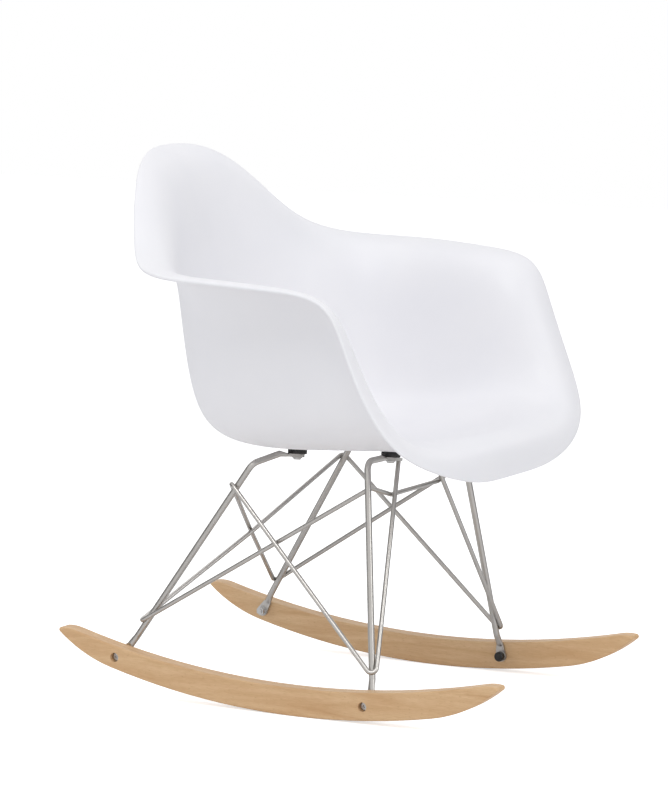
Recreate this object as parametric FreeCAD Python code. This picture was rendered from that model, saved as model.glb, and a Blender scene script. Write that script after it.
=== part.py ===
import FreeCAD, Part
import math
import os

# A rocking armchair: a moulded bucket seat on a welded wire base, bolted to two wooden rockers.
# Millimetres. X = 0 is the plane of symmetry and +X the sitter's left. The chair faces -Y.
# Z = 0 is the floor, and Y = 0 is halfway between the tips of the rockers.

# Rockers: boards on edge, both long edges curved
rocker_outer_width = 410.0
rocker_thickness = 24.0
rocker_reach = 321.5
rocker_sole_radius = 1089.0
rocker_contact_y = -35.0
rocker_top_radius = 1244.0
rocker_top_low_y = -30.0
rocker_height = 36.5
rocker_sweep_radius = 200.0
rocker_cap_radius = 60.0
rocker_cap_length = 24.0
rocker_nose_radius = 3.5
rocker_edge_round = 2.5

# Wire base: steel rods, the legs' ends flattened round their bolts
leg_rod_diameter = 8.5
brace_rod_diameter = 6.0
flattened_thickness = 4.0
foot_eye_diameter = 15.0
foot_neck = 13.0
foot_taper_end = 30.0
flat_neck_width = 10.2
front_bolt_y = -131.0
front_bolt_z = 22.5
rear_bolt_y = 236.0
rear_bolt_z = 50.0

# Seat mounts: one at the top of each leg. Their plane rises to the front, and each mount is
# rolled about its own middle so that its outer side is the higher one.
mount_x = 64.0
front_mount_y = -94.5
rear_mount_y = 43.0
mount_plane_z = 323.5
mount_plane_y = -37.0
mount_plane_tilt = 2.5
mount_roll = 9.0
mount_eye_diameter = 19.0
mount_neck = 14.0
front_taper_end = 25.0
pad_diameter = 25.0
pad_thickness = 7.0
pad_edge_round = 0.8

# Where the legs bend in under the seat
front_leg_shoulder_x = 127.0
front_bar_rise = 1.0
rear_leg_shoulder_x = 137.0
rear_leg_shoulder_y = 68.0
rear_leg_shoulder_drop = 1.5
rear_arch_x = 92.0
rear_arch_y = 53.0
rear_arch_rise = 1.5
leg_bend_radius = 14.0

# Braces and the bar between the two front legs. Where they meet the legs low down is a height
# above the floor, and where they meet them near the seat is a drop below the mounts' plane.
brace_bend_radius = 6.6
brace_slack = 0.2
rear_low_height = 87.0
front_low_height = 49.0
front_weld_drop = 36.5
rear_high_drop = 45.5
hanger_x = 42.5
hanger_end_radius = 5.0
crossbar_end_drop = 33.5
crossbar_drop = 52.5
crossbar_bend_x = 64.0
crossbar_y = -95.0
crossbar_bend_radius = 12.0
crossing_bend_radius = 200.0

# Screws, nuts and inserts: M6
screw_diameter = 6.0
screw_clearance = 0.25
socket_head_diameter = 10.0
socket_head_height = 4.0
socket_width = 4.0
socket_depth = 2.0
counterbore_diameter = 12.2
counterbore_depth = 11.2
counterbore_washer_diameter = 11.5
washer_diameter = 13.0
washer_thickness = 1.2
nut_width = 10.0
nut_height = 5.0
thread_beyond_nut = 1.5
nut_cap_wall = 0.8
nut_cap_round = 3.0
button_head_diameter = 10.5
button_head_height = 2.2
button_head_round = 1.5
button_socket_width = 4.0
button_socket_depth = 1.3
insert_diameter = 12.0
insert_cover = 2.0
insert_spare_depth = 0.6

# Seat shell
shell_wall = 4.5
boss_diameter = 30.0
boss_height = 3.0
pan_y = -25.0

# The seat's skin follows closed rings of control points round the bowl, each given as one half,
# from the middle of the front edge round the left arm to the middle of the back's top.
# x, y, and z above the pan.
rim_ring = [
    (0, -239, -32), (90, -244, -32), (180, -240, -12), (262, -211, 22), (283, -175, 86),
    (284, -147, 158), (288, -126, 219), (296, -48, 225), (313, 51, 231), (290, 145, 232),
    (208, 203, 252), (147, 239, 328), (78, 268, 368), (0, 283, 372),
]
turn_ring = [
    (0, -239, 2), (92, -239, 2), (174, -232, 11), (226, -209, 36), (245, -177, 97),
    (241, -147, 164), (237, -113, 222), (240, -36, 236), (246, 40, 242), (228, 112, 243),
    (180, 158, 260), (124, 197, 312), (68, 227, 346), (0, 239, 352),
]
foot_ring = [
    (0, -200, 24), (85, -197, 24), (155, -175, 27), (188, -137, 34), (196, -97, 38),
    (197, -60, 36), (197, -25, 32), (195, 20, 27), (188, 73, 25), (169, 121, 28),
    (135, 157, 34), (90, 177, 40), (43, 190, 42), (0, 193, 42),
]
pan_rings = [(0.30, 0.0), (0.50, 0.0), (0.78, 0.25)]
wall_ring_share = 0.55

X_AXIS = FreeCAD.Vector(1, 0, 0)
Y_AXIS = FreeCAD.Vector(0, 1, 0)
Z_AXIS = FreeCAD.Vector(0, 0, 1)
ORIGIN = FreeCAD.Vector(0, 0, 0)

leg_radius = leg_rod_diameter / 2
brace_radius = brace_rod_diameter / 2
board_outer_x = rocker_outer_width / 2
board_inner_x = board_outer_x - rocker_thickness
mount_slope = math.tan(math.radians(mount_plane_tilt))
plate_top = -pad_thickness
plate_bottom = plate_top - flattened_thickness
plate_middle = (plate_top + plate_bottom) / 2
screw_hole_diameter = screw_diameter + 2 * screw_clearance
insert_height = boss_height + shell_wall - insert_cover


def vec(x, y, z):
    return FreeCAD.Vector(x, y, z)


def save(name, shape):
    shape.exportStep("parts/" + name + ".step")


def mirrored(shape):
    """The same shape on the other side of the symmetry plane."""
    return shape.mirror(ORIGIN, X_AXIS)


def save_sides(name, left):
    save(name + "_left", left)
    save(name + "_right", mirrored(left))


def save_group(name, left_shapes):
    """Equal small parts saved as one group: those on the left, and their mirror images."""
    solids = []
    for shape in left_shapes:
        solids.extend(shape.Solids + mirrored(shape).Solids)
    save(name, Part.makeCompound(solids))


# Rods and flattened ends

def rod(start, corners, end, diameter):
    """A round rod with straight runs; each corner is a point and its bend radius."""
    edges = []
    points = [start] + [point for point, _ in corners] + [end]
    run_start = start
    for index, (corner, bend_radius) in enumerate(corners):
        back = points[index] - corner
        ahead = points[index + 2] - corner
        room = 0.45 * min(back.Length, ahead.Length)
        back.normalize()
        ahead.normalize()
        half_turn = (math.pi - back.getAngle(ahead)) / 2
        cut = min(bend_radius * math.tan(half_turn), room)
        radius = cut / math.tan(half_turn)
        inward = (back + ahead).normalize()
        middle = corner + inward * (radius / math.cos(half_turn) - radius)
        arc_start = corner + back * cut
        arc_end = corner + ahead * cut
        edges.append(Part.makeLine(run_start, arc_start))
        edges.append(Part.Arc(arc_start, middle, arc_end).toShape())
        run_start = arc_end
    edges.append(Part.makeLine(run_start, end))
    profile = Part.Wire([Part.Circle(start, points[1] - start, diameter / 2).toShape()])
    return Part.Wire(edges).makePipeShell([profile], True, False)


def facing(centre, normal, toward):
    """A placement at centre with its z along normal and its x turned towards a point."""
    span = toward - centre
    along = (span - normal * span.dot(normal)).normalize()
    return FreeCAD.Placement(centre, FreeCAD.Rotation(along, normal.cross(along), normal, "ZXY"))


def tongue(big_radius, length, small_radius):
    """A flat tongue along x, round about the origin and narrower at its far end."""
    lean = math.acos((big_radius - small_radius) / length)

    def at(centre_x, radius, angle):
        x = centre_x + radius * math.cos(angle)
        return vec(x, radius * math.sin(angle), -flattened_thickness / 2)

    near_left = at(0, big_radius, lean)
    near_right = at(0, big_radius, -lean)
    far_left = at(length, small_radius, lean)
    far_right = at(length, small_radius, -lean)
    outline = Part.Wire([
        Part.Arc(near_left, at(0, big_radius, math.pi), near_right).toShape(),
        Part.makeLine(near_right, far_right),
        Part.Arc(far_right, at(length, small_radius, 0), far_left).toShape(),
        Part.makeLine(far_left, near_left),
    ])
    return Part.Face(outline).extrude(vec(0, 0, flattened_thickness))


def flattened_end(centre, normal, rod_end, rod_heading, eye_diameter, neck):
    """The end of a leg beaten flat: an eye, a neck, and a taper up to the round rod."""
    neck_radius = flat_neck_width / 2
    placement = facing(centre, normal, rod_end)
    flat = tongue(eye_diameter / 2, neck, neck_radius)
    flat.Placement = placement
    across = placement.Rotation.multVec(vec(0, 1, 0))
    neck_centre = placement.multVec(vec(neck, 0, 0))
    oval = Part.Ellipse(
        neck_centre + across * neck_radius,
        neck_centre + normal * (flattened_thickness / 2),
        neck_centre,
    )
    side = (across - rod_heading * across.dot(rod_heading)).normalize()
    top = side.cross(rod_heading)
    if top.dot(normal) < 0:
        top = -top
    circle = Part.Circle(
        rod_end + side * leg_radius, rod_end + top * leg_radius, rod_end - side * leg_radius,
    )
    sections = [Part.Wire([oval.toShape()]), Part.Wire([circle.toShape()])]
    return flat.fuse(Part.makeLoft(sections, True, True))


def tube(outer_diameter, inner_diameter, height, base, axis):
    outer = Part.makeCylinder(outer_diameter / 2, height, base, axis)
    inner = Part.makeCylinder(inner_diameter / 2, height + 2, base - axis, axis)
    return outer.cut(inner)


def hexagon(across_flats, height, base, axis):
    """A hexagonal prism that grows from base along axis."""
    reach = across_flats / math.sqrt(3)
    corners = []
    for step in range(7):
        angle = math.pi / 3 * step
        corners.append(vec(reach * math.cos(angle), reach * math.sin(angle), 0))
    prism = Part.Face(Part.makePolygon(corners)).extrude(vec(0, 0, height))
    prism.Placement = FreeCAD.Placement(base, FreeCAD.Rotation(Z_AXIS, axis))
    return prism


def round_rim(shape, centre, radius, rounding):
    """Rounds the circular edges of the given radius about centre."""
    rims = []
    for edge in shape.Edges:
        circle = edge.Curve
        if isinstance(circle, Part.Circle) and abs(circle.Radius - radius) < 0.01:
            if (circle.Center - centre).Length < 0.01:
                rims.append(edge)
    return shape.makeFillet(rounding, rims)


# Seat mounts: each has its own frame, with z = 0 on the mount plane and square to it

def mount_plane_at(y):
    return mount_plane_z - mount_slope * (y - mount_plane_y)


def level_frame(y):
    """The frame of a mount before its roll, in line with the pan."""
    turn = FreeCAD.Rotation(X_AXIS, -mount_plane_tilt)
    return FreeCAD.Placement(vec(mount_x, y, mount_plane_at(y)), turn)


def mount_frame(y):
    roll = FreeCAD.Placement(ORIGIN, FreeCAD.Rotation(Y_AXIS, -mount_roll))
    return level_frame(y).multiply(roll)


def at_mounts(shape):
    """A shape drawn in the mount's frame, placed at the front and the rear mount."""
    placed = []
    for y in (front_mount_y, rear_mount_y):
        copy = shape.copy()
        copy.Placement = mount_frame(y).multiply(shape.Placement)
        placed.append(copy)
    return placed


def drill(height, base, axis):
    return Part.makeCylinder(screw_hole_diameter / 2, height, base, axis)


def make_pad():
    pad = tube(pad_diameter, screw_hole_diameter, pad_thickness, vec(0, 0, plate_top), Z_AXIS)
    for z in (plate_top, 0):
        pad = round_rim(pad, vec(0, 0, z), pad_diameter / 2, pad_edge_round)
    return pad


def make_insert():
    return tube(insert_diameter, screw_diameter, insert_height, ORIGIN, Z_AXIS)


def make_seat_washer():
    base = vec(0, 0, plate_bottom - washer_thickness)
    return tube(washer_diameter, screw_hole_diameter, washer_thickness, base, Z_AXIS)


def make_seat_screw():
    """A button-head screw up through washer, leg and pad, into the insert."""
    head_top = plate_bottom - washer_thickness
    head_bottom = head_top - button_head_height
    radius = button_head_diameter / 2
    head = Part.makeCylinder(radius, button_head_height, vec(0, 0, head_bottom), Z_AXIS)
    head = round_rim(head, vec(0, 0, head_bottom), radius, button_head_round)
    shank_length = insert_height - insert_spare_depth - head_top
    shank = Part.makeCylinder(screw_diameter / 2, shank_length, vec(0, 0, head_top), Z_AXIS)
    socket = hexagon(button_socket_width, button_socket_depth, vec(0, 0, head_bottom), Z_AXIS)
    return head.fuse(shank).removeSplitter().cut(socket)


# Legs

def mount_hole(frame):
    """The screw's hole through a leg's eye, in the given mount's frame."""
    start = plate_bottom - flattened_thickness
    hole = drill(-start, vec(0, 0, start), Z_AXIS)
    hole.Placement = frame
    return hole


def foot_axis(bolt_y, bolt_z):
    """Where the leg's axis would meet the bolt's if the rod ran on beside the board."""
    return vec(board_inner_x - leg_radius, bolt_y, bolt_z)


def front_rod_top():
    return mount_frame(front_mount_y).multVec(vec(front_taper_end, 0, plate_middle))


def front_shoulder():
    return vec(front_leg_shoulder_x, front_rod_top().y, front_rod_top().z + front_bar_rise)


def rear_shoulder():
    drop = plate_middle - rear_leg_shoulder_drop
    z = mount_plane_at(rear_leg_shoulder_y) + drop
    return vec(rear_leg_shoulder_x, rear_leg_shoulder_y, z)


def make_leg(bolt_y, bolt_z, shoulder, rod_top, mount_y):
    """Foot eye on the board's inner face, straight rod, shoulder bend, and eye under the seat."""
    foot = foot_axis(bolt_y, bolt_z)
    up = (shoulder - foot).normalize()
    rod_foot = foot + up * foot_taper_end
    leg = rod(rod_foot, [(shoulder, leg_bend_radius)], rod_top, leg_rod_diameter)
    foot_eye = vec(board_inner_x - flattened_thickness / 2, bolt_y, bolt_z)
    leg = leg.fuse(flattened_end(foot_eye, X_AXIS, rod_foot, up, foot_eye_diameter, foot_neck))
    frame = mount_frame(mount_y)
    mount_eye = frame.multVec(vec(0, 0, plate_middle))
    upright = frame.Rotation.multVec(Z_AXIS)
    inward = (rod_top - shoulder).normalize()
    end = flattened_end(mount_eye, upright, rod_top, inward, mount_eye_diameter, mount_neck)
    leg = leg.fuse(end)
    foot_hole = drill(2 * flattened_thickness, foot_eye - X_AXIS * flattened_thickness, X_AXIS)
    return leg.cut([foot_hole, mount_hole(frame)])


def hanger_top():
    """Where the front brace run ends, under the inner end of the front leg's flat."""
    return mount_frame(front_mount_y).multVec(vec(hanger_x - mount_x, 0, plate_middle))


def make_front_leg():
    leg = make_leg(front_bolt_y, front_bolt_z, front_shoulder(), front_rod_top(), front_mount_y)
    frame = mount_frame(front_mount_y)
    flat = tongue(mount_eye_diameter / 2, mount_x - hanger_x, hanger_end_radius)
    centre = frame.multVec(vec(0, 0, plate_middle))
    flat.Placement = facing(centre, frame.Rotation.multVec(Z_AXIS), hanger_top())
    return leg.fuse(flat.cut(mount_hole(frame))).removeSplitter().Solids[0]


def make_rear_leg():
    arch_step = vec(rear_arch_x - mount_x, rear_arch_y - rear_mount_y, plate_middle + rear_arch_rise)
    rod_top = mount_frame(rear_mount_y).multVec(arch_step)
    leg = make_leg(rear_bolt_y, rear_bolt_z, rear_shoulder(), rod_top, rear_mount_y)
    return leg.removeSplitter().Solids[0]


# Braces and the front crossbar, hooked round the legs and welded where they touch

def opposite(point):
    return vec(-point.x, point.y, point.z)


def on_leg(foot, shoulder, height):
    """The point of a leg's axis at the given height."""
    return foot + (shoulder - foot) * ((height - foot.z) / (shoulder.z - foot.z))


def hook_corner(axis_point, along, before, here, after):
    """The corner of a rod that goes round a leg and touches it on both of its runs."""
    arms = []
    for far in (before, after):
        span = far - here
        arms.append((span - along * span.dot(along)).normalize())
    back = -(arms[0] + arms[1]).normalize()
    half_angle = arms[0].getAngle(arms[1]) / 2
    reach = (leg_radius + brace_radius + brace_slack) / math.sin(half_angle)
    return axis_point + back * reach


def make_brace(crossing_side):
    """One long rod: front left weld, rear left foot, rear right top, front right foot, seat."""
    front_foot = foot_axis(front_bolt_y, front_bolt_z)
    rear_foot = foot_axis(rear_bolt_y, rear_bolt_z)
    front_up = (front_shoulder() - front_foot).normalize()
    rear_up = (rear_shoulder() - rear_foot).normalize()
    start = on_leg(front_foot, front_shoulder(), mount_plane_z - front_weld_drop)
    end = opposite(hanger_top())
    low = on_leg(rear_foot, rear_shoulder(), rear_low_height)
    high = opposite(on_leg(rear_foot, rear_shoulder(), mount_plane_z - rear_high_drop))
    front = opposite(on_leg(front_foot, front_shoulder(), front_low_height))
    low_corner, high_corner, front_corner = low, high, front
    for _ in range(8):
        run = high_corner - low_corner
        square = run.cross(opposite(run)).normalize()
        if square.y < 0:
            square = -square
        middle = low_corner - run * (low_corner.x / run.x)
        middle = middle + square * (crossing_side * (brace_radius + brace_slack))
        new_low = hook_corner(low, rear_up, start, low_corner, middle)
        new_high = hook_corner(high, opposite(rear_up), middle, high_corner, front_corner)
        new_front = hook_corner(front, opposite(front_up), high_corner, front_corner, end)
        low_corner, high_corner, front_corner = new_low, new_high, new_front
    corners = [
        (low_corner, brace_bend_radius),
        (middle, crossing_bend_radius),
        (high_corner, brace_bend_radius),
        (front_corner, brace_bend_radius),
    ]
    return rod(start, corners, end, brace_rod_diameter)


def make_crossbar():
    foot = foot_axis(front_bolt_y, front_bolt_z)
    left_end = on_leg(foot, front_shoulder(), mount_plane_z - crossbar_end_drop)
    left_bend = vec(crossbar_bend_x, crossbar_y, mount_plane_z - crossbar_drop)
    corners = [(left_bend, crossbar_bend_radius), (opposite(left_bend), crossbar_bend_radius)]
    return rod(left_end, corners, opposite(left_end), brace_rod_diameter)


def trimmed(shape, cutters):
    """A rod cut back to the surfaces it is welded to, without the offcuts inside them."""
    for cutter in cutters:
        shape = shape.cut(cutter)
    return max(shape.Solids, key=lambda solid: solid.Volume)


# Rockers

def circles_meet(centre_a, radius_a, centre_b, radius_b):
    """Where two circles in the YZ plane cross, on the left looking from a to b."""
    span = centre_b - centre_a
    distance = span.Length
    along = (distance ** 2 + radius_a ** 2 - radius_b ** 2) / (2 * distance)
    aside = math.sqrt(radius_a ** 2 - along ** 2)
    unit = span / distance
    return centre_a + unit * along + vec(0, -unit.z, unit.y) * aside


def arc(centre, radius, first, last):
    middle = centre + ((first - centre) + (last - centre)).normalize() * radius
    return Part.Arc(first, middle, last).toShape()


def rocker_end(direction):
    """One end of a rocker's outline, from sole to top edge, for direction +1 rear or -1 front."""
    sole_centre = vec(0, direction * rocker_contact_y, rocker_sole_radius)
    top_y = direction * rocker_top_low_y
    top_centre = vec(0, top_y, rocker_height + rocker_top_radius)
    cap_y = rocker_reach - rocker_cap_length
    top_fall = math.sqrt(rocker_top_radius ** 2 - (cap_y - top_y) ** 2)
    cap_start = vec(0, cap_y, top_centre.z - top_fall)
    cap_centre = cap_start + (cap_start - top_centre) * (rocker_cap_radius / rocker_top_radius)
    nose_y = rocker_reach - rocker_nose_radius
    cap_swing = rocker_cap_radius - rocker_nose_radius
    nose_rise = math.sqrt(cap_swing ** 2 - (nose_y - cap_centre.y) ** 2)
    nose_centre = vec(0, nose_y, cap_centre.z + nose_rise)
    sweep_centre = circles_meet(
        nose_centre, rocker_sweep_radius - rocker_nose_radius,
        sole_centre, rocker_sole_radius - rocker_sweep_radius,
    )
    sole_ratio = rocker_sole_radius / (rocker_sole_radius - rocker_sweep_radius)
    sweep_ratio = rocker_sweep_radius / (rocker_sweep_radius - rocker_nose_radius)
    sweep_start = sole_centre + (sweep_centre - sole_centre) * sole_ratio
    nose_start = sweep_centre + (nose_centre - sweep_centre) * sweep_ratio
    nose_end = cap_centre + (nose_centre - cap_centre) * (rocker_cap_radius / cap_swing)
    nose_tip = vec(0, rocker_reach, nose_centre.z)
    edges = [
        arc(sweep_centre, rocker_sweep_radius, sweep_start, nose_start),
        arc(nose_centre, rocker_nose_radius, nose_start, nose_tip),
        arc(nose_centre, rocker_nose_radius, nose_tip, nose_end),
        arc(cap_centre, rocker_cap_radius, nose_end, cap_start),
    ]
    if direction < 0:
        edges = [edge.mirror(ORIGIN, vec(0, 1, 0)) for edge in edges]
    sweep_start.y *= direction
    cap_start.y *= direction
    return edges, sweep_start, cap_start


def make_rocker():
    """The left rocker: a curved board with eased edges and a counterbored hole for each screw."""
    rear_edges, rear_sole, rear_top = rocker_end(1)
    front_edges, front_sole, front_top = rocker_end(-1)
    lowest = vec(0, rocker_contact_y, 0)
    top_low = vec(0, rocker_top_low_y, rocker_height)
    edges = [Part.Arc(front_sole, lowest, rear_sole).toShape()] + rear_edges
    edges += [Part.Arc(rear_top, top_low, front_top).toShape()] + front_edges
    outline = Part.Wire(Part.__sortEdges__(edges))
    outline.translate(vec(board_inner_x, 0, 0))
    board = Part.Face(outline).extrude(vec(rocker_thickness, 0, 0))
    long_edges = [edge for edge in board.Edges if edge.BoundBox.XLength < 0.01]
    board = board.makeFillet(rocker_edge_round, long_edges)
    for bolt_y, bolt_z in ((front_bolt_y, front_bolt_z), (rear_bolt_y, rear_bolt_z)):
        board = board.cut(drill(rocker_thickness, vec(board_inner_x, bolt_y, bolt_z), X_AXIS))
        floor = vec(board_outer_x - counterbore_depth, bolt_y, bolt_z)
        radius = counterbore_diameter / 2
        board = board.cut(Part.makeCylinder(radius, counterbore_depth, floor, X_AXIS))
    return board


def at_bolts(make):
    return [make(front_bolt_y, front_bolt_z), make(rear_bolt_y, rear_bolt_z)]


def outer_washer_x():
    return board_outer_x - counterbore_depth


def inner_washer_x():
    return board_inner_x - flattened_thickness - washer_thickness


def make_rocker_screw(bolt_y, bolt_z):
    """A socket-head screw sunk in the board's outer face, long enough for washer and nut."""
    head_start = outer_washer_x() + washer_thickness
    tip = inner_washer_x() - nut_height - thread_beyond_nut
    head_base = vec(head_start, bolt_y, bolt_z)
    head = Part.makeCylinder(socket_head_diameter / 2, socket_head_height, head_base, X_AXIS)
    shank_base = vec(tip, bolt_y, bolt_z)
    shank = Part.makeCylinder(screw_diameter / 2, head_start - tip, shank_base, X_AXIS)
    socket_base = vec(head_start + socket_head_height - socket_depth, bolt_y, bolt_z)
    return head.fuse(shank).cut(hexagon(socket_width, socket_depth, socket_base, X_AXIS))


def make_outer_washer(bolt_y, bolt_z):
    base = vec(outer_washer_x(), bolt_y, bolt_z)
    return tube(counterbore_washer_diameter, screw_hole_diameter, washer_thickness, base, X_AXIS)


def make_inner_washer(bolt_y, bolt_z):
    base = vec(inner_washer_x(), bolt_y, bolt_z)
    return tube(washer_diameter, screw_hole_diameter, washer_thickness, base, X_AXIS)


def make_nut(bolt_y, bolt_z):
    base = vec(inner_washer_x() - nut_height, bolt_y, bolt_z)
    nut = hexagon(nut_width, nut_height, base, X_AXIS)
    return nut.cut(Part.makeCylinder(screw_diameter / 2, nut_height, base, X_AXIS))


def make_nut_cap():
    """A cap pushed over a front nut, down to its washer."""
    radius = nut_width / math.sqrt(3) + nut_cap_wall
    depth = nut_height + thread_beyond_nut + nut_cap_wall
    mouth = vec(inner_washer_x(), front_bolt_y, front_bolt_z)
    cap = Part.makeCylinder(radius, depth, mouth, -X_AXIS)
    cap = round_rim(cap, mouth - X_AXIS * depth, radius, nut_cap_round)
    return cap.cut(hexagon(nut_width, depth - nut_cap_wall, mouth, -X_AXIS))


# Seat shell

def shell_poles():
    """Rings of control points from the pan outwards, for the half from front to back."""
    rings = []
    for share, lift in pan_rings:
        ring = []
        for x, y, z in foot_ring:
            ring_y = pan_y + (y - pan_y) * share
            ring.append((x * share, ring_y, z * lift - mount_slope * (ring_y - pan_y)))
        rings.append(ring)
    wall_ring = []
    for foot, turn in zip(foot_ring, turn_ring):
        point = [a + (b - a) * wall_ring_share for a, b in zip(foot, turn)]
        wall_ring.append(tuple(point))
    rings.extend([foot_ring, wall_ring, turn_ring, rim_ring])
    return rings


def closed_ring(half, base_z):
    """Both halves of a ring, without repeating the points on the symmetry plane."""
    left = [vec(x, y, z + base_z) for x, y, z in half]
    right = [vec(-p.x, p.y, p.z) for p in reversed(left[1:-1])]
    return left + right


def skin(rings):
    """A smooth cubic surface over the rings: closed round the bowl, open at the pan and the rim."""
    count = len(rings)
    around = len(rings[0])
    inner_knots = count - 3
    ring_mults = [4] + [1] * (inner_knots - 1) + [4]
    surface = Part.BSplineSurface()
    surface.buildFromPolesMultsKnots(
        rings, ring_mults, [1] * (around + 1),
        list(range(inner_knots + 1)), list(range(around + 1)), False, True, 3, 3,
    )
    return surface


def offset_rings(rings, distance):
    """The same rings, moved square to the skin towards the outside of the bowl."""
    moved = []
    for row, ring in enumerate(rings):
        new_ring = []
        for column, point in enumerate(ring):
            around = ring[(column + 1) % len(ring)] - ring[column - 1]
            outer = rings[min(row + 1, len(rings) - 1)][column]
            inner = rings[max(row - 1, 0)][column]
            normal = around.cross(outer - inner).normalize()
            new_ring.append(point + normal * distance)
        moved.append(new_ring)
    return moved


def make_bosses():
    """The four bosses, square to their mounts below and level with the middle of the wall above."""
    wall_middle = boss_height + shell_wall / 2
    tall_boss = Part.makeCylinder(boss_diameter / 2, 2 * wall_middle)
    width = 2 * boss_diameter
    corner = vec(-boss_diameter, -boss_diameter, -boss_diameter)
    slab = Part.makeBox(width, width, boss_diameter + wall_middle, corner)
    bosses = []
    for y, boss in zip((front_mount_y, rear_mount_y), at_mounts(tall_boss)):
        slab.Placement = level_frame(y)
        boss = boss.common(slab)
        bosses += [boss, mirrored(boss)]
    return bosses


def make_seat_shell():
    """The bucket: two smooth skins joined at the rim, with a boss and a pocket at each mount."""
    base_z = mount_plane_at(pan_y) + boss_height + shell_wall
    inner_rings = [closed_ring(ring, base_z) for ring in shell_poles()]
    faces = []
    rims = []
    for rings in (inner_rings, offset_rings(inner_rings, shell_wall)):
        surface = skin(rings)
        first, last, _, _ = surface.bounds()
        rims.append(surface.uIso(last).toShape())
        faces.append(surface.toShape())
        faces.append(Part.Face(Part.Wire([surface.uIso(first).toShape()])))
    faces.append(Part.makeRuledSurface(rims[0], rims[1]))
    joined = Part.makeShell(faces)
    joined.sewShape(0.01)
    bucket = Part.Solid(Part.Shell(joined.Faces))
    pockets = at_mounts(Part.makeCylinder(insert_diameter / 2, insert_height))
    bucket = bucket.fuse(make_bosses())
    return bucket.cut(pockets + [mirrored(shape) for shape in pockets])


def main():
    os.makedirs("parts", exist_ok=True)
    front_leg = make_front_leg()
    rear_leg = make_rear_leg()
    legs = [front_leg, rear_leg, mirrored(front_leg), mirrored(rear_leg)]
    save("seat_shell", make_seat_shell())
    save_group("threaded_inserts", at_mounts(make_insert()))
    front_pad, rear_pad = at_mounts(make_pad())
    save_sides("rubber_pad_front", front_pad)
    save_sides("rubber_pad_rear", rear_pad)
    save_group("seat_screws", at_mounts(make_seat_screw()))
    save_group("seat_screw_washers", at_mounts(make_seat_washer()))
    save_sides("front_leg", front_leg)
    save_sides("rear_leg", rear_leg)
    save("brace_rod_right", trimmed(make_brace(1), legs))
    save("brace_rod_left", trimmed(mirrored(make_brace(-1)), legs))
    save("front_crossbar", trimmed(make_crossbar(), legs))
    save_sides("rocker", make_rocker())
    save_group("rocker_screws", at_bolts(make_rocker_screw))
    save_group("rocker_screw_washers", at_bolts(make_outer_washer))
    save_group("rocker_nuts", at_bolts(make_nut))
    save_group("rocker_nut_washers", at_bolts(make_inner_washer))
    save_group("nut_caps", [make_nut_cap()])


main()
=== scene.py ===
import math

import bmesh
import bpy
import numpy as np
from mathutils import Matrix, Vector


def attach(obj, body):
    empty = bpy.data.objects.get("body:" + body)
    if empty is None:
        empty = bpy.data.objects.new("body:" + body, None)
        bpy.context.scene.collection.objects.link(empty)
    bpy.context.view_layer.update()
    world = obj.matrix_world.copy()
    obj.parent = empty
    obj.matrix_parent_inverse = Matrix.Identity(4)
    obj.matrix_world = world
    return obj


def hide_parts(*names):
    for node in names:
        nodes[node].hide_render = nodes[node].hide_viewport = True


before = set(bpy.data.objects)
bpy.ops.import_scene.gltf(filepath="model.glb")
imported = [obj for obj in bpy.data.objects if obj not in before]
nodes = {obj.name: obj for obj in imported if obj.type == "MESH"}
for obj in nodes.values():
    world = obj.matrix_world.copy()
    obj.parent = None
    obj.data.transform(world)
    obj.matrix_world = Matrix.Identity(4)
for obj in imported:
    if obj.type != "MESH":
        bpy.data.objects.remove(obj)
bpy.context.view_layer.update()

# Seat shell: one bucket moulded in polypropylene, with arms and back in the same 4.5 mm wall.
# Its skin follows closed rings round the bowl, from the pan up to the rolled-out rim. The tool
# leaves a satin surface, and the free edge is rounded over.
MM = 0.001
shell_wall = 4.5
rim_ring = [
    (0, -239, -32), (90, -244, -32), (180, -240, -12), (262, -211, 22), (283, -175, 86),
    (284, -147, 158), (288, -126, 219), (296, -48, 225), (313, 51, 231), (290, 145, 232),
    (208, 203, 252), (147, 239, 328), (78, 268, 368), (0, 283, 372),
]
turn_ring = [
    (0, -239, 2), (92, -239, 2), (174, -232, 11), (226, -209, 36), (245, -177, 97),
    (241, -147, 164), (237, -113, 222), (240, -36, 236), (246, 40, 242), (228, 112, 243),
    (180, 158, 260), (124, 197, 312), (68, 227, 346), (0, 239, 352),
]
foot_ring = [
    (0, -200, 24), (85, -197, 24), (155, -175, 27), (188, -137, 34), (196, -97, 38),
    (197, -60, 36), (197, -25, 32), (195, 20, 27), (188, 73, 25), (169, 121, 28),
    (135, 157, 34), (90, 177, 40), (43, 190, 42), (0, 193, 42),
]
pan_rings = [(0.30, 0.0), (0.50, 0.0), (0.78, 0.25)]
wall_ring_share = 0.55
pan_y = -25.0

mount_x = 64.0
mount_ys = (-94.5, 43.0)
mount_plane_z = 323.5
mount_plane_y = -37.0
mount_tilt = math.radians(2.5)
mount_roll = math.radians(9.0)
boss_height = 3.0
boss_radius = 15.0
boss_edge = 0.8
corner_middle = 0.3


def mount_plane_at(y):
    """Height of the plane through the boss faces."""
    return mount_plane_z - math.tan(mount_tilt) * (y - mount_plane_y)


def shell_rings():
    """Control rings of the inner skin, each closed, in millimetres."""
    base_z = mount_plane_at(pan_y) + boss_height + shell_wall
    foot = np.array(foot_ring, float)
    turn = np.array(turn_ring, float)
    halves = []
    for share, lift in pan_rings:
        half = foot * (share, share, lift)
        half[:, 1] += pan_y * (1 - share)
        half[:, 2] -= math.tan(mount_tilt) * (half[:, 1] - pan_y)
        halves.append(half)
    halves += [foot, foot + (turn - foot) * wall_ring_share, turn, np.array(rim_ring, float)]
    rings = []
    for half in halves:
        mirror = half[-2:0:-1] * (-1, 1, 1)
        rings.append(np.vstack([half, mirror]) + (0, 0, base_z))
    return np.array(rings)


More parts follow.
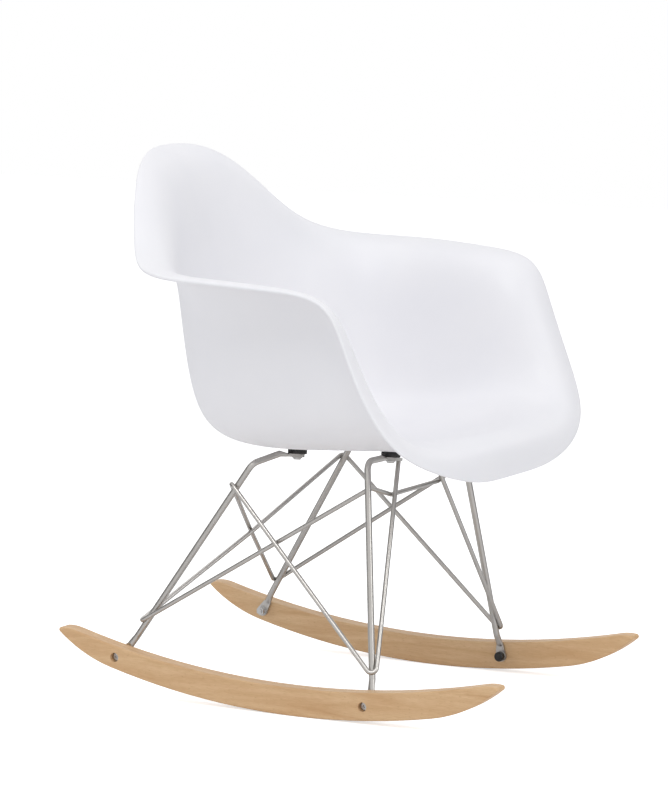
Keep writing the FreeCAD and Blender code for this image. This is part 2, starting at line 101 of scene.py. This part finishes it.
def moved_out(rings, distance):
    """The rings moved square to the skin, away from the sitter."""
    around = np.roll(rings, -1, axis=1) - np.roll(rings, 1, axis=1)
    climb = np.empty_like(rings)
    climb[1:-1] = rings[2:] - rings[:-2]
    climb[0] = rings[1] - rings[0]
    climb[-1] = rings[-1] - rings[-2]
    normal = np.cross(around, climb)
    return rings + normal / np.linalg.norm(normal, axis=2, keepdims=True) * distance


def climb_weights(position, count):
    """Cubic weights of the rings at a place between the pan, 0, and the rim, count - 3."""
    knots = [0] * 3 + list(range(count - 2)) + [count - 3] * 3
    place = min(max(position, 0), count - 3 - 1e-9)
    weights = [1.0 if knots[i] <= place < knots[i + 1] else 0.0 for i in range(len(knots) - 1)]
    for degree in (1, 2, 3):
        raised = []
        for i in range(len(weights) - 1):
            left = knots[i + degree] - knots[i]
            right = knots[i + degree + 1] - knots[i + 1]
            value = (place - knots[i]) / left * weights[i] if left else 0.0
            value += (knots[i + degree + 1] - place) / right * weights[i + 1] if right else 0.0
            raised.append(value)
        weights = raised
    return np.array(weights)


def round_weights(steps):
    """Uniform cubic weights for a number of steps within one span of a closed ring."""
    t = np.arange(steps) / steps
    return np.array([
        (1 - t) ** 3, 3 * t ** 3 - 6 * t ** 2 + 4, -3 * t ** 3 + 3 * t ** 2 + 3 * t + 1, t ** 3,
    ]).T / 6


def skin_row(rings, position, steps):
    """One closed row of points of the smooth skin."""
    ring = np.tensordot(climb_weights(position, len(rings)), rings, axes=1)
    spans = np.stack([np.roll(ring, 1 - k, axis=0) for k in range(4)], axis=1)
    return np.einsum("sk,nkd->nsd", round_weights(steps), spans).reshape(-1, 3)


def closed_mesh(name, rows, first_centre, last_centre):
    """A closed form from rows of points, with a fan of triangles at each end."""
    width = len(rows[0])
    verts = [tuple(first_centre)] + [tuple(p) for row in rows for p in row] + [tuple(last_centre)]
    last = len(verts) - 1
    faces = []
    for column in range(width):
        following = (column + 1) % width
        faces.append((0, 1 + column, 1 + following))
        for row in range(len(rows) - 1):
            a = 1 + row * width
            b = a + width
            faces.append((a + column, b + column, b + following, a + following))
        top = 1 + (len(rows) - 1) * width
        faces.append((top + column, last, top + following))
    mesh = bpy.data.meshes.new(name)
    mesh.from_pydata(verts, [], faces)
    return mesh


def finished(name, mesh, material, slot, *stands_for):
    """Puts a mesh in the scene as one smooth piece of the chair, with its normals outwards."""
    form = bmesh.new()
    form.from_mesh(mesh)
    bmesh.ops.recalc_face_normals(form, faces=form.faces)
    form.to_mesh(mesh)
    form.free()
    mesh.shade_smooth()
    mesh.materials.clear()
    mesh.materials.append(material)
    piece = bpy.data.objects.new(name, mesh)
    bpy.context.scene.collection.objects.link(piece)
    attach(piece, "root")
    if stands_for:
        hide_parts(*stands_for)
    return piece


def linear(code):
    """A hex colour as Blender's linear red, green, blue and alpha."""
    channels = []
    for start in (0, 2, 4):
        value = int(code[start:start + 2], 16) / 255
        channels.append(value / 12.92 if value <= 0.04045 else ((value + 0.055) / 1.055) ** 2.4)
    return (*channels, 1.0)


def add_node(tree, kind, inputs=None, links=None, **settings):
    """A node with its settings, its values, and links into its sockets."""
    node = tree.nodes.new(kind)
    for key, value in settings.items():
        setattr(node, key, value)
    for key, value in (inputs or {}).items():
        node.inputs[key].default_value = value
    for key, socket in (links or {}).items():
        tree.links.new(socket, node.inputs[key])
    return node


def new_material(name):
    """An empty material, its tree, its surface shader and its object coordinates."""
    material = bpy.data.materials.new(name)
    material.use_nodes = True
    tree = material.node_tree
    shader = tree.nodes["Principled BSDF"]
    place = tree.nodes.new("ShaderNodeTexCoord").outputs["Object"]
    return material, tree, shader, place


def two_tones(tree, factor, first, second):
    """A colour that goes from one hex tone to the other with the factor."""
    mix = add_node(
        tree, "ShaderNodeMix", {6: linear(first), 7: linear(second)}, {0: factor},
        data_type="RGBA",
    )
    return mix.outputs[2]


def in_range(tree, value, low, high):
    """A value of 0 to 1 spread from low to high."""
    spread = add_node(
        tree, "ShaderNodeMapRange", {"To Min": low, "To Max": high}, {"Value": value}
    )
    return spread.outputs["Result"]


# Polypropylene: a slightly cool white with soft clouds in it, and a spark-eroded grain of about
# 0.7 mm from the mould that spreads the highlight without showing as texture.
cloud_size = 90 * MM
mould_grain = 0.7 * MM
polypropylene, tree, shader, place = new_material("satin_white_polypropylene")
clouds = add_node(
    tree, "ShaderNodeTexNoise", {"Scale": 1 / cloud_size, "Detail": 3.0}, {"Vector": place}
)
tone = two_tones(tree, clouds.outputs["Fac"], "F1F0F2", "EAEAEE")
tree.links.new(tone, shader.inputs["Base Color"])
grain = add_node(
    tree, "ShaderNodeTexNoise", {"Scale": 1 / mould_grain, "Detail": 2.0}, {"Vector": place}
)
tree.links.new(in_range(tree, grain.outputs["Fac"], 0.36, 0.46), shader.inputs["Roughness"])
relief = add_node(
    tree, "ShaderNodeBump", {"Strength": 0.05, "Distance": 0.05 * MM},
    {"Height": grain.outputs["Fac"]},
)
tree.links.new(relief.outputs["Normal"], shader.inputs["Normal"])
shader.inputs["IOR"].default_value = 1.49

steps_round = 9
rows_per_span = 13
pan_rows = 6
edge_rows = 7
just_inside = 0.02
boss_facets = 48
inner_rings = shell_rings()
outer_rings = moved_out(inner_rings, shell_wall)
spans = len(inner_rings) - 3
climb_places = np.linspace(0, spans, spans * rows_per_span + 1)[:-1]


def rim_rows():
    """The rounded free edge: a half round from the inner skin over to the outer one."""
    inner_edge = skin_row(inner_rings, spans, steps_round)
    outer_edge = skin_row(outer_rings, spans, steps_round)
    behind = skin_row(inner_rings, spans - just_inside, steps_round)
    outward = inner_edge - behind
    outward /= np.linalg.norm(outward, axis=1, keepdims=True)
    middle = (inner_edge + outer_edge) / 2 - outward * shell_wall / 2
    across = (inner_edge - outer_edge) / 2
    rows = []
    for angle in np.linspace(0, math.pi, edge_rows):
        rows.append(middle + across * math.cos(angle) + outward * math.sin(angle) * shell_wall / 2)
    return rows


def skin_rows(rings):
    """The rows of one skin from the middle of the pan to just below the rim."""
    start = skin_row(rings, 0, steps_round)
    centre = start.mean(axis=0)
    rows = [centre + (start - centre) * k / pan_rows for k in range(1, pan_rows)]
    rows += [skin_row(rings, place, steps_round) for place in climb_places]
    return centre, rows


inner_centre, inner_rows = skin_rows(inner_rings)
outer_centre, outer_rows = skin_rows(outer_rings)
shell_rows = inner_rows + rim_rows() + outer_rows[::-1]
shell_mesh = closed_mesh(
    "seat_shell", [row * MM for row in shell_rows], inner_centre * MM, outer_centre * MM
)


def level_frame(side, y):
    """A mount's place in line with the pan. side is 1 on the sitter's left and -1 on the right."""
    turn = Matrix.Rotation(-mount_tilt, 4, "X")
    return Matrix.Translation((side * mount_x, y, mount_plane_at(y))) @ turn


def mount_frame(side, y):
    """A mount's place with its z square to the rubber pad."""
    return level_frame(side, y) @ Matrix.Rotation(-side * mount_roll, 4, "Y")


def add_boss(form, side, y):
    """A round boss under the pan: square to its mount below, lost in the wall above. Its eased
    corner has one middle point, which lies a share of the edge in from both faces."""
    place = Matrix.Scale(MM, 4) @ mount_frame(side, y)
    rings = []
    wall_middle = boss_height + shell_wall / 2
    soft = corner_middle * boss_edge
    for radius, height in (
        (boss_radius - boss_edge, 0), (boss_radius - soft, soft),
        (boss_radius, boss_edge), (boss_radius, None),
    ):
        ring = []
        for k in range(boss_facets):
            x = radius * math.cos(2 * math.pi * k / boss_facets)
            y_local = radius * math.sin(2 * math.pi * k / boss_facets)
            slope = side * x * math.sin(mount_roll)
            z = height if height is not None else (wall_middle - slope) / math.cos(mount_roll)
            ring.append(form.verts.new(place @ Vector((x, y_local, z))))
        rings.append(ring)
    for lower, upper in zip(rings, rings[1:]):
        for k in range(boss_facets):
            following = (k + 1) % boss_facets
            form.faces.new((lower[k], lower[following], upper[following], upper[k]))
    form.faces.new(rings[0][::-1])
    form.faces.new(rings[-1])


form = bmesh.new()
form.from_mesh(shell_mesh)
for side in (1, -1):
    for y in mount_ys:
        add_boss(form, side, y)
form.to_mesh(shell_mesh)
form.free()
finished("seat_bucket", shell_mesh, polypropylene, "shell_plastic", "seat_shell")


# Seat mounts: each is a black rubber pad with the leg's flattened eye under it. A washer and a
# low button-head screw hold both up against the boss, where a brass insert takes the thread.
pad_thickness = 7.0
pad_radius = 12.5
pad_edge = 1.2
pad_hole = 3.25
eye_thickness = 4.0
washer_radius = 6.5
washer_thickness = 1.2
washer_edge = 0.25
screw_radius = 3.0
screw_hole = 3.25
button_radius = 5.25
button_round = [(0.0, 0.7), (0.3, 1.3), (0.9, 1.9), (1.6, 2.2)]
screw_chamfer = 0.5
button_socket_width = 4.0
button_socket_depth = 1.3
screw_reach = 4.9
turned_facets = 48
washer_facets = 40


def turned(name, profile, facets):
    """A closed ring turned about z from a closed profile of (radius, height), in millimetres."""
    verts = []
    faces = []
    count = len(profile)
    for k in range(facets):
        angle = 2 * math.pi * k / facets
        for radius, height in profile:
            point = (radius * math.cos(angle), radius * math.sin(angle), height)
            verts.append(tuple(value * MM for value in point))
    for k in range(facets):
        following = (k + 1) % facets
        for j in range(count):
            after = (j + 1) % count
            faces.append((
                k * count + j, following * count + j,
                following * count + after, k * count + after,
            ))
    mesh = bpy.data.meshes.new(name)
    mesh.from_pydata(verts, [], faces)
    return mesh


def ring_profile(inner, outer, low, high, edge):
    """A washer's section, with its outer corners broken."""
    soft = corner_middle * edge
    return [
        (inner, low), (outer - edge, low), (outer - soft, low + soft), (outer, low + edge),
        (outer, high - edge), (outer - soft, high - soft), (outer - edge, high), (inner, high),
    ]


def screw_mesh(name, outline, socket_width, socket_depth):
    """A screw turned from an outline of (radius, height) that runs from its tip to its head's
    face, with a hexagon socket sunk in that face."""
    angles = np.arange(turned_facets) * 2 * math.pi / turned_facets
    corner_step = math.pi / 3
    off_flat = (angles + corner_step / 2) % corner_step - corner_step / 2
    tip = outline[0][1]
    face = outline[-1][1]
    floor = face + math.copysign(socket_depth, tip - face)
    rings = [(np.full(turned_facets, radius), height) for radius, height in outline]
    socket = socket_width / 2 / np.cos(off_flat)
    rings += [(socket, face), (socket, floor)]
    rows = []
    for radius, height in rings:
        level = np.full(turned_facets, height)
        row = np.stack([radius * np.cos(angles), radius * np.sin(angles), level], axis=1)
        rows.append(row * MM)
    return closed_mesh(name, rows, (0, 0, tip * MM), (0, 0, floor * MM))


def repeat_tree(name):
    """A tree that sets a pattern on each point of a mesh, turned as the point says."""
    tree = bpy.data.node_groups.new(name, "GeometryNodeTree")
    tree.interface.new_socket("Points", in_out="INPUT", socket_type="NodeSocketGeometry")
    tree.interface.new_socket("Pattern", in_out="INPUT", socket_type="NodeSocketObject")
    tree.interface.new_socket("Finish", in_out="INPUT", socket_type="NodeSocketMaterial")
    tree.interface.new_socket("Pieces", in_out="OUTPUT", socket_type="NodeSocketGeometry")
    given = add_node(tree, "NodeGroupInput")
    shape = add_node(tree, "GeometryNodeObjectInfo", links={"Object": given.outputs["Pattern"]})
    turn = add_node(
        tree, "GeometryNodeInputNamedAttribute", {"Name": "turn"}, data_type="QUATERNION"
    )
    placed = add_node(tree, "GeometryNodeInstanceOnPoints", links={
        "Points": given.outputs["Points"],
        "Instance": shape.outputs["Geometry"],
        "Rotation": turn.outputs["Attribute"],
    })
    real = add_node(
        tree, "GeometryNodeRealizeInstances", links={"Geometry": placed.outputs["Instances"]}
    )
    coated = add_node(tree, "GeometryNodeSetMaterial", links={
        "Geometry": real.outputs["Geometry"], "Material": given.outputs["Finish"],
    })
    add_node(tree, "NodeGroupOutput", links={"Pieces": coated.outputs["Geometry"]})
    return tree


def set_inputs(modifier, tree, **values):
    """Sets a modifier's inputs by the names of its tree's sockets."""
    for item in tree.interface.items_tree:
        if item.in_out == "INPUT" and item.name in values:
            modifier[item.identifier] = values[item.name]


def repeated(name, pattern_mesh, places, material, slot, *stands_for):
    """The pattern at each place as one plain mesh, through a tree of nodes."""
    pattern = bpy.data.objects.new(name + "_pattern", pattern_mesh)
    points = bpy.data.meshes.new(name + "_points")
    points.from_pydata([tuple(place.to_translation() * MM) for place in places], [], [])
    turns = points.attributes.new("turn", "QUATERNION", "POINT")
    for k, place in enumerate(places):
        turns.data[k].value = place.to_quaternion()
    carrier = bpy.data.objects.new(name + "_carrier", points)
    bpy.context.scene.collection.objects.link(carrier)
    bpy.context.scene.collection.objects.link(pattern)
    tree = repeat_tree(name + "_tree")
    modifier = carrier.modifiers.new("repeat", "NODES")
    modifier.node_group = tree
    set_inputs(modifier, tree, Pattern=pattern, Finish=material)
    carrier.update_tag()
    bpy.context.view_layer.update()
    ready = carrier.evaluated_get(bpy.context.evaluated_depsgraph_get())
    mesh = bpy.data.meshes.new_from_object(ready)
    mesh.name = name
    bpy.data.objects.remove(carrier)
    bpy.data.objects.remove(pattern)
    return finished(name, mesh, material, slot, *stands_for)


def smooth_by_angle(piece, degrees):
    """Keeps machined corners crisp and rounds the rest."""
    piece.data.set_sharp_from_angle(angle=math.radians(degrees))


# Natural rubber, moulded: black with a dull grey bloom, and a fine 0.5 mm grain.
bloom_size = 6 * MM
rubber_grain = 0.5 * MM
rubber, tree, shader, place = new_material("moulded_black_rubber")
bloom = add_node(
    tree, "ShaderNodeTexNoise", {"Scale": 1 / bloom_size, "Detail": 4.0}, {"Vector": place}
)
tone = two_tones(tree, bloom.outputs["Fac"], "1A1A1B", "2C2B2B")
tree.links.new(tone, shader.inputs["Base Color"])
skin = add_node(
    tree, "ShaderNodeTexNoise", {"Scale": 1 / rubber_grain, "Detail": 2.0}, {"Vector": place}
)
tree.links.new(in_range(tree, skin.outputs["Fac"], 0.55, 0.75), shader.inputs["Roughness"])
relief = add_node(
    tree, "ShaderNodeBump", {"Strength": 0.15, "Distance": 0.08 * MM},
    {"Height": skin.outputs["Fac"]},
)
tree.links.new(relief.outputs["Normal"], shader.inputs["Normal"])

# Zinc-plated steel: a bright neutral grey, with turned marks about 0.3 mm apart.
zinc_turning = 0.3 * MM
zinc, tree, shader, place = new_material("zinc_plated_steel")
turning = add_node(
    tree, "ShaderNodeTexNoise", {"Scale": 1 / zinc_turning, "Detail": 2.0}, {"Vector": place}
)
tone = two_tones(tree, turning.outputs["Fac"], "BCBBBA", "CFCECD")
tree.links.new(tone, shader.inputs["Base Color"])
tree.links.new(in_range(tree, turning.outputs["Fac"], 0.28, 0.42), shader.inputs["Roughness"])
shader.inputs["Metallic"].default_value = 1.0

four_mounts = [mount_frame(side, y) for side in (1, -1) for y in mount_ys]
pad_mesh = turned(
    "pad", ring_profile(pad_hole, pad_radius, -pad_thickness, 0, pad_edge), turned_facets
)
for side, hand in ((1, "left"), (-1, "right")):
    for y, end in zip(mount_ys, ("front", "rear")):
        pad = pad_mesh.copy()
        pad.transform(Matrix.Scale(MM, 4) @ mount_frame(side, y) @ Matrix.Scale(1 / MM, 4))
        node = f"rubber_pad_{end}_{hand}"
        piece = finished(f"mount_pad_{end}_{hand}", pad, rubber, "pad_rubber", node)
        smooth_by_angle(piece, 50)

eye_underside = -pad_thickness - eye_thickness
washer_mesh = turned("seat_washer", ring_profile(
    screw_hole, washer_radius, eye_underside - washer_thickness, eye_underside, washer_edge
), washer_facets)
piece = repeated(
    "seat_washer_set", washer_mesh, four_mounts, zinc, "fastener_steel", "seat_screw_washers"
)
smooth_by_angle(piece, 30)

head_seat = eye_underside - washer_thickness
screw_outline = [
    (screw_radius - screw_chamfer, screw_reach), (screw_radius, screw_reach - screw_chamfer),
    (screw_radius, head_seat), (button_radius, head_seat),
] + [(button_radius - inwards, head_seat - down) for inwards, down in button_round]
button_mesh = screw_mesh("seat_screw", screw_outline, button_socket_width, button_socket_depth)
piece = repeated(
    "seat_screw_set", button_mesh, four_mounts, zinc, "fastener_steel", "seat_screws"
)
smooth_by_angle(piece, 30)

# Yellow brass for the threaded inserts, pressed into the bosses and seen only from below.
brass_turning = 0.4 * MM
brass, tree, shader, place = new_material("turned_brass")
turning = add_node(
    tree, "ShaderNodeTexNoise", {"Scale": 1 / brass_turning, "Detail": 2.0}, {"Vector": place}
)
tone = two_tones(tree, turning.outputs["Fac"], "B08D4A", "CDAA63")
tree.links.new(tone, shader.inputs["Base Color"])
tree.links.new(in_range(tree, turning.outputs["Fac"], 0.25, 0.4), shader.inputs["Roughness"])
shader.inputs["Metallic"].default_value = 1.0


def coat(material, *names):
    """Gives pieces that keep their own form their finish."""
    for name in names:
        nodes[name].data.materials.clear()
        nodes[name].data.materials.append(material)


coat(brass, "threaded_inserts")


# Wire base: 8.5 mm and 6 mm steel rod, bent, welded where the rods touch, then plated and
# satin finished. The legs' ends are beaten flat and drilled.

# Satin chromed steel: the polish leaves slow changes along the rod, about 20 mm long, and
# spreads the highlight into a soft streak.
streak_length = 20 * MM
chrome, tree, shader, place = new_material("satin_chromed_steel")
streaks = add_node(
    tree, "ShaderNodeTexNoise", {"Scale": 1 / streak_length, "Detail": 2.0}, {"Vector": place}
)
tone = two_tones(tree, streaks.outputs["Fac"], "B3B0AC", "C3C0BC")
tree.links.new(tone, shader.inputs["Base Color"])
tree.links.new(in_range(tree, streaks.outputs["Fac"], 0.27, 0.33), shader.inputs["Roughness"])
shader.inputs["Metallic"].default_value = 1.0

coat(chrome, "front_leg_left", "front_leg_right", "rear_leg_left", "rear_leg_right",
     "brace_rod_left", "brace_rod_right", "front_crossbar")


# Rockers: two boards of steam-bent beech on edge, sanded, with eased corners and a clear matt
# lacquer. A screw sunk in the board holds each leg, and the front nuts wear black caps.

# Beech: warm pale straw, with soft growth bands that run along the board, about 12 mm wide,
# a finer grain of 1 mm between them, and faint short rays.
band_width = 12 * MM
fine_grain = 1.0 * MM
ray_width = 1.2 * MM
beech, tree, shader, place = new_material("lacquered_beech")
along = add_node(tree, "ShaderNodeMapping", {"Scale": (1.0, 0.08, 1.0)}, {"Vector": place})
bands = add_node(
    tree, "ShaderNodeTexNoise",
    {"Scale": 1 / band_width, "Detail": 3.0, "Roughness": 0.5, "Distortion": 0.8},
    {"Vector": along.outputs["Vector"]},
)
fine = add_node(
    tree, "ShaderNodeTexNoise", {"Scale": 1 / fine_grain, "Detail": 2.0},
    {"Vector": along.outputs["Vector"]},
)
straw = two_tones(tree, in_range(tree, bands.outputs["Fac"], -0.2, 1.2), "EFD0A6", "CDA273")
darker = two_tones(tree, fine.outputs["Fac"], "FFFFFF", "E5DACB")
grained = add_node(
    tree, "ShaderNodeMix", {0: 1.0}, {6: straw, 7: darker},
    data_type="RGBA", blend_type="MULTIPLY",
)
short = add_node(tree, "ShaderNodeMapping", {"Scale": (1.0, 0.22, 1.0)}, {"Vector": place})
rays = add_node(
    tree, "ShaderNodeTexNoise", {"Scale": 1 / ray_width, "Detail": 1.0},
    {"Vector": short.outputs["Vector"]},
)
ray_mask = add_node(
    tree, "ShaderNodeMapRange", {"From Min": 0.64, "From Max": 0.80, "To Max": 0.5},
    {"Value": rays.outputs["Fac"]},
)
flecked = add_node(
    tree, "ShaderNodeMix", {7: linear("AF8557")},
    {0: ray_mask.outputs["Result"], 6: grained.outputs[2]}, data_type="RGBA",
)
tree.links.new(flecked.outputs[2], shader.inputs["Base Color"])
tree.links.new(in_range(tree, bands.outputs["Fac"], 0.40, 0.52), shader.inputs["Roughness"])
relief = add_node(
    tree, "ShaderNodeBump", {"Strength": 0.12, "Distance": 0.08 * MM},
    {"Height": fine.outputs["Fac"]},
)
tree.links.new(relief.outputs["Normal"], shader.inputs["Normal"])

coat(beech, "rocker_left", "rocker_right")
coat(zinc, "rocker_screws", "rocker_screw_washers", "rocker_nuts", "rocker_nut_washers")

# Black polyethylene for the caps on the front nuts.
haze_size = 1.5 * MM
polyethylene, tree, shader, place = new_material("black_polyethylene")
haze = add_node(
    tree, "ShaderNodeTexNoise", {"Scale": 1 / haze_size, "Detail": 3.0}, {"Vector": place}
)
tree.links.new(
    two_tones(tree, haze.outputs["Fac"], "0C0C0C", "171616"), shader.inputs["Base Color"]
)
tree.links.new(in_range(tree, haze.outputs["Fac"], 0.32, 0.42), shader.inputs["Roughness"])
coat(polyethylene, "nut_caps")


# Studio: a white room with a paper floor, four soft boxes, and two grey cards for the rods.
# The camera stands off the chair's right front, at 1.2 m, and looks down a little.
picture = (668, 800)
camera_place = Vector((-5.1414, -2.8518, 1.2029))
camera_target = Vector((0.0, 0.025, 0.377))
camera_roll = math.radians(0.12)
focal_pixels = 4566.0
sensor = 36.0

camera_data = bpy.data.cameras.new("camera")
camera_data.sensor_fit = "AUTO"
camera_data.sensor_width = sensor
camera_data.lens = focal_pixels * sensor / max(picture)
camera_data.clip_start = 0.1
camera_data.clip_end = 50
camera = bpy.data.objects.new("camera", camera_data)
camera.location = camera_place
look = (camera_target - camera_place).to_track_quat("-Z", "Y")
camera.rotation_mode = "QUATERNION"
camera.rotation_quaternion = look @ Matrix.Rotation(camera_roll, 3, "Z").to_quaternion()
bpy.context.scene.collection.objects.link(camera)
bpy.context.scene.camera = camera


def soft_box(name, position, aim, size, watts):
    """A square soft box that points at the chair."""
    data = bpy.data.lights.new(name, "AREA")
    data.shape = "SQUARE"
    data.size = size
    data.energy = watts
    lamp = bpy.data.objects.new(name, data)
    lamp.location = position
    lamp.rotation_mode = "QUATERNION"
    lamp.rotation_quaternion = (Vector(aim) - Vector(position)).to_track_quat("-Z", "Y")
    bpy.context.scene.collection.objects.link(lamp)


for name, position, aim_height, size, watts in (
    ("overhead_box", (-0.3, 0.2, 3.0), 0.3, 2.4, 17),
    ("side_box", (-1.9, -0.7, 2.6), 0.35, 0.9, 13),
    ("front_box", (-0.3, -3.2, 1.3), 0.4, 1.6, 18),
    ("rear_box", (-1.7, 2.9, 1.3), 0.4, 1.6, 14),
):
    soft_box(name, position, (0, 0, aim_height), size, watts)


card_distance = 3.0
card_width = 4.2
card_height = 3.0


def grey_card(name, bearing):
    """A card beside the set. Only reflections meet it, and it draws the rods' darker edges."""
    half = card_width / 2
    mesh = bpy.data.meshes.new(name)
    mesh.from_pydata(
        [(card_distance, -half, 0), (card_distance, half, 0),
         (card_distance, half, card_height), (card_distance, -half, card_height)],
        [], [(0, 1, 2, 3)],
    )
    mesh.transform(Matrix.Rotation(math.radians(bearing), 4, "Z"))
    mesh.materials.append(felt)
    card = bpy.data.objects.new(name, mesh)
    bpy.context.scene.collection.objects.link(card)
    card.visible_camera = False
    card.visible_diffuse = False
    card.visible_shadow = False


# Grey felt for the cards, with a mottled pile of about 5 mm.
pile_size = 5 * MM
felt, tree, shader, place = new_material("grey_felt")
pile = add_node(tree, "ShaderNodeTexNoise", {"Scale": 1 / pile_size}, {"Vector": place})
tree.links.new(
    two_tones(tree, pile.outputs["Fac"], "868686", "929292"), shader.inputs["Base Color"]
)
shader.inputs["Roughness"].default_value = 1.0
grey_card("card_behind_right", 109)
grey_card("card_before_left", 309)

# World: a pale room gives the soft light from all round. The camera, and rays that reflect or
# go through, see it as plain white.
room_light = 0.66
white_light = 1.0
world = bpy.data.worlds.new("white_room")
world.use_nodes = True
bpy.context.scene.world = world
tree = world.node_tree
tree.nodes.clear()
ray = add_node(tree, "ShaderNodeLightPath")
clear = add_node(tree, "ShaderNodeMath", links={
    0: ray.outputs["Is Camera Ray"], 1: ray.outputs["Is Transmission Ray"],
}, operation="MAXIMUM")
seen = add_node(tree, "ShaderNodeMath", links={
    0: clear.outputs[0], 1: ray.outputs["Is Glossy Ray"],
}, operation="MAXIMUM")
room = add_node(tree, "ShaderNodeBackground", {"Color": linear("F4F5F8"), "Strength": room_light})
white = add_node(tree, "ShaderNodeBackground", {"Color": (1, 1, 1, 1), "Strength": white_light})
choice = add_node(tree, "ShaderNodeMixShader", links={
    0: seen.outputs[0], 1: room.outputs[0], 2: white.outputs[0],
})
add_node(tree, "ShaderNodeOutputWorld", links={"Surface": choice.outputs[0]})

# Floor: white paper. Seen by the camera it glows a little, so it runs into the white room and
# keeps only the chair's soft shadow. Reflections see it without the glow.
floor_glow = 0.62
floor_reach = 6.0
paper_fibre = 3 * MM
floor_material, tree, shader, place = new_material("white_paper_floor")
fibres = add_node(
    tree, "ShaderNodeTexNoise", {"Scale": 1 / paper_fibre, "Detail": 2.0}, {"Vector": place}
)
tone = two_tones(tree, fibres.outputs["Fac"], "F6F6F6", "F9F9F9")
tree.links.new(tone, shader.inputs["Base Color"])
shader.inputs["Roughness"].default_value = 0.9
ray = add_node(tree, "ShaderNodeLightPath")
glow = add_node(
    tree, "ShaderNodeMath", {1: floor_glow}, {0: ray.outputs["Is Camera Ray"]},
    operation="MULTIPLY",
)
shader.inputs["Emission Color"].default_value = (1, 1, 1, 1)
tree.links.new(glow.outputs[0], shader.inputs["Emission Strength"])
floor_mesh = bpy.data.meshes.new("floor")
floor_mesh.from_pydata(
    [(-floor_reach, -floor_reach, 0), (floor_reach, -floor_reach, 0),
     (floor_reach, floor_reach, 0), (-floor_reach, floor_reach, 0)],
    [], [(0, 1, 2, 3)],
)
floor_mesh.materials.append(floor_material)
floor = bpy.data.objects.new("floor", floor_mesh)
bpy.context.scene.collection.objects.link(floor)
bpy.context.scene.view_settings.view_transform = "Standard"
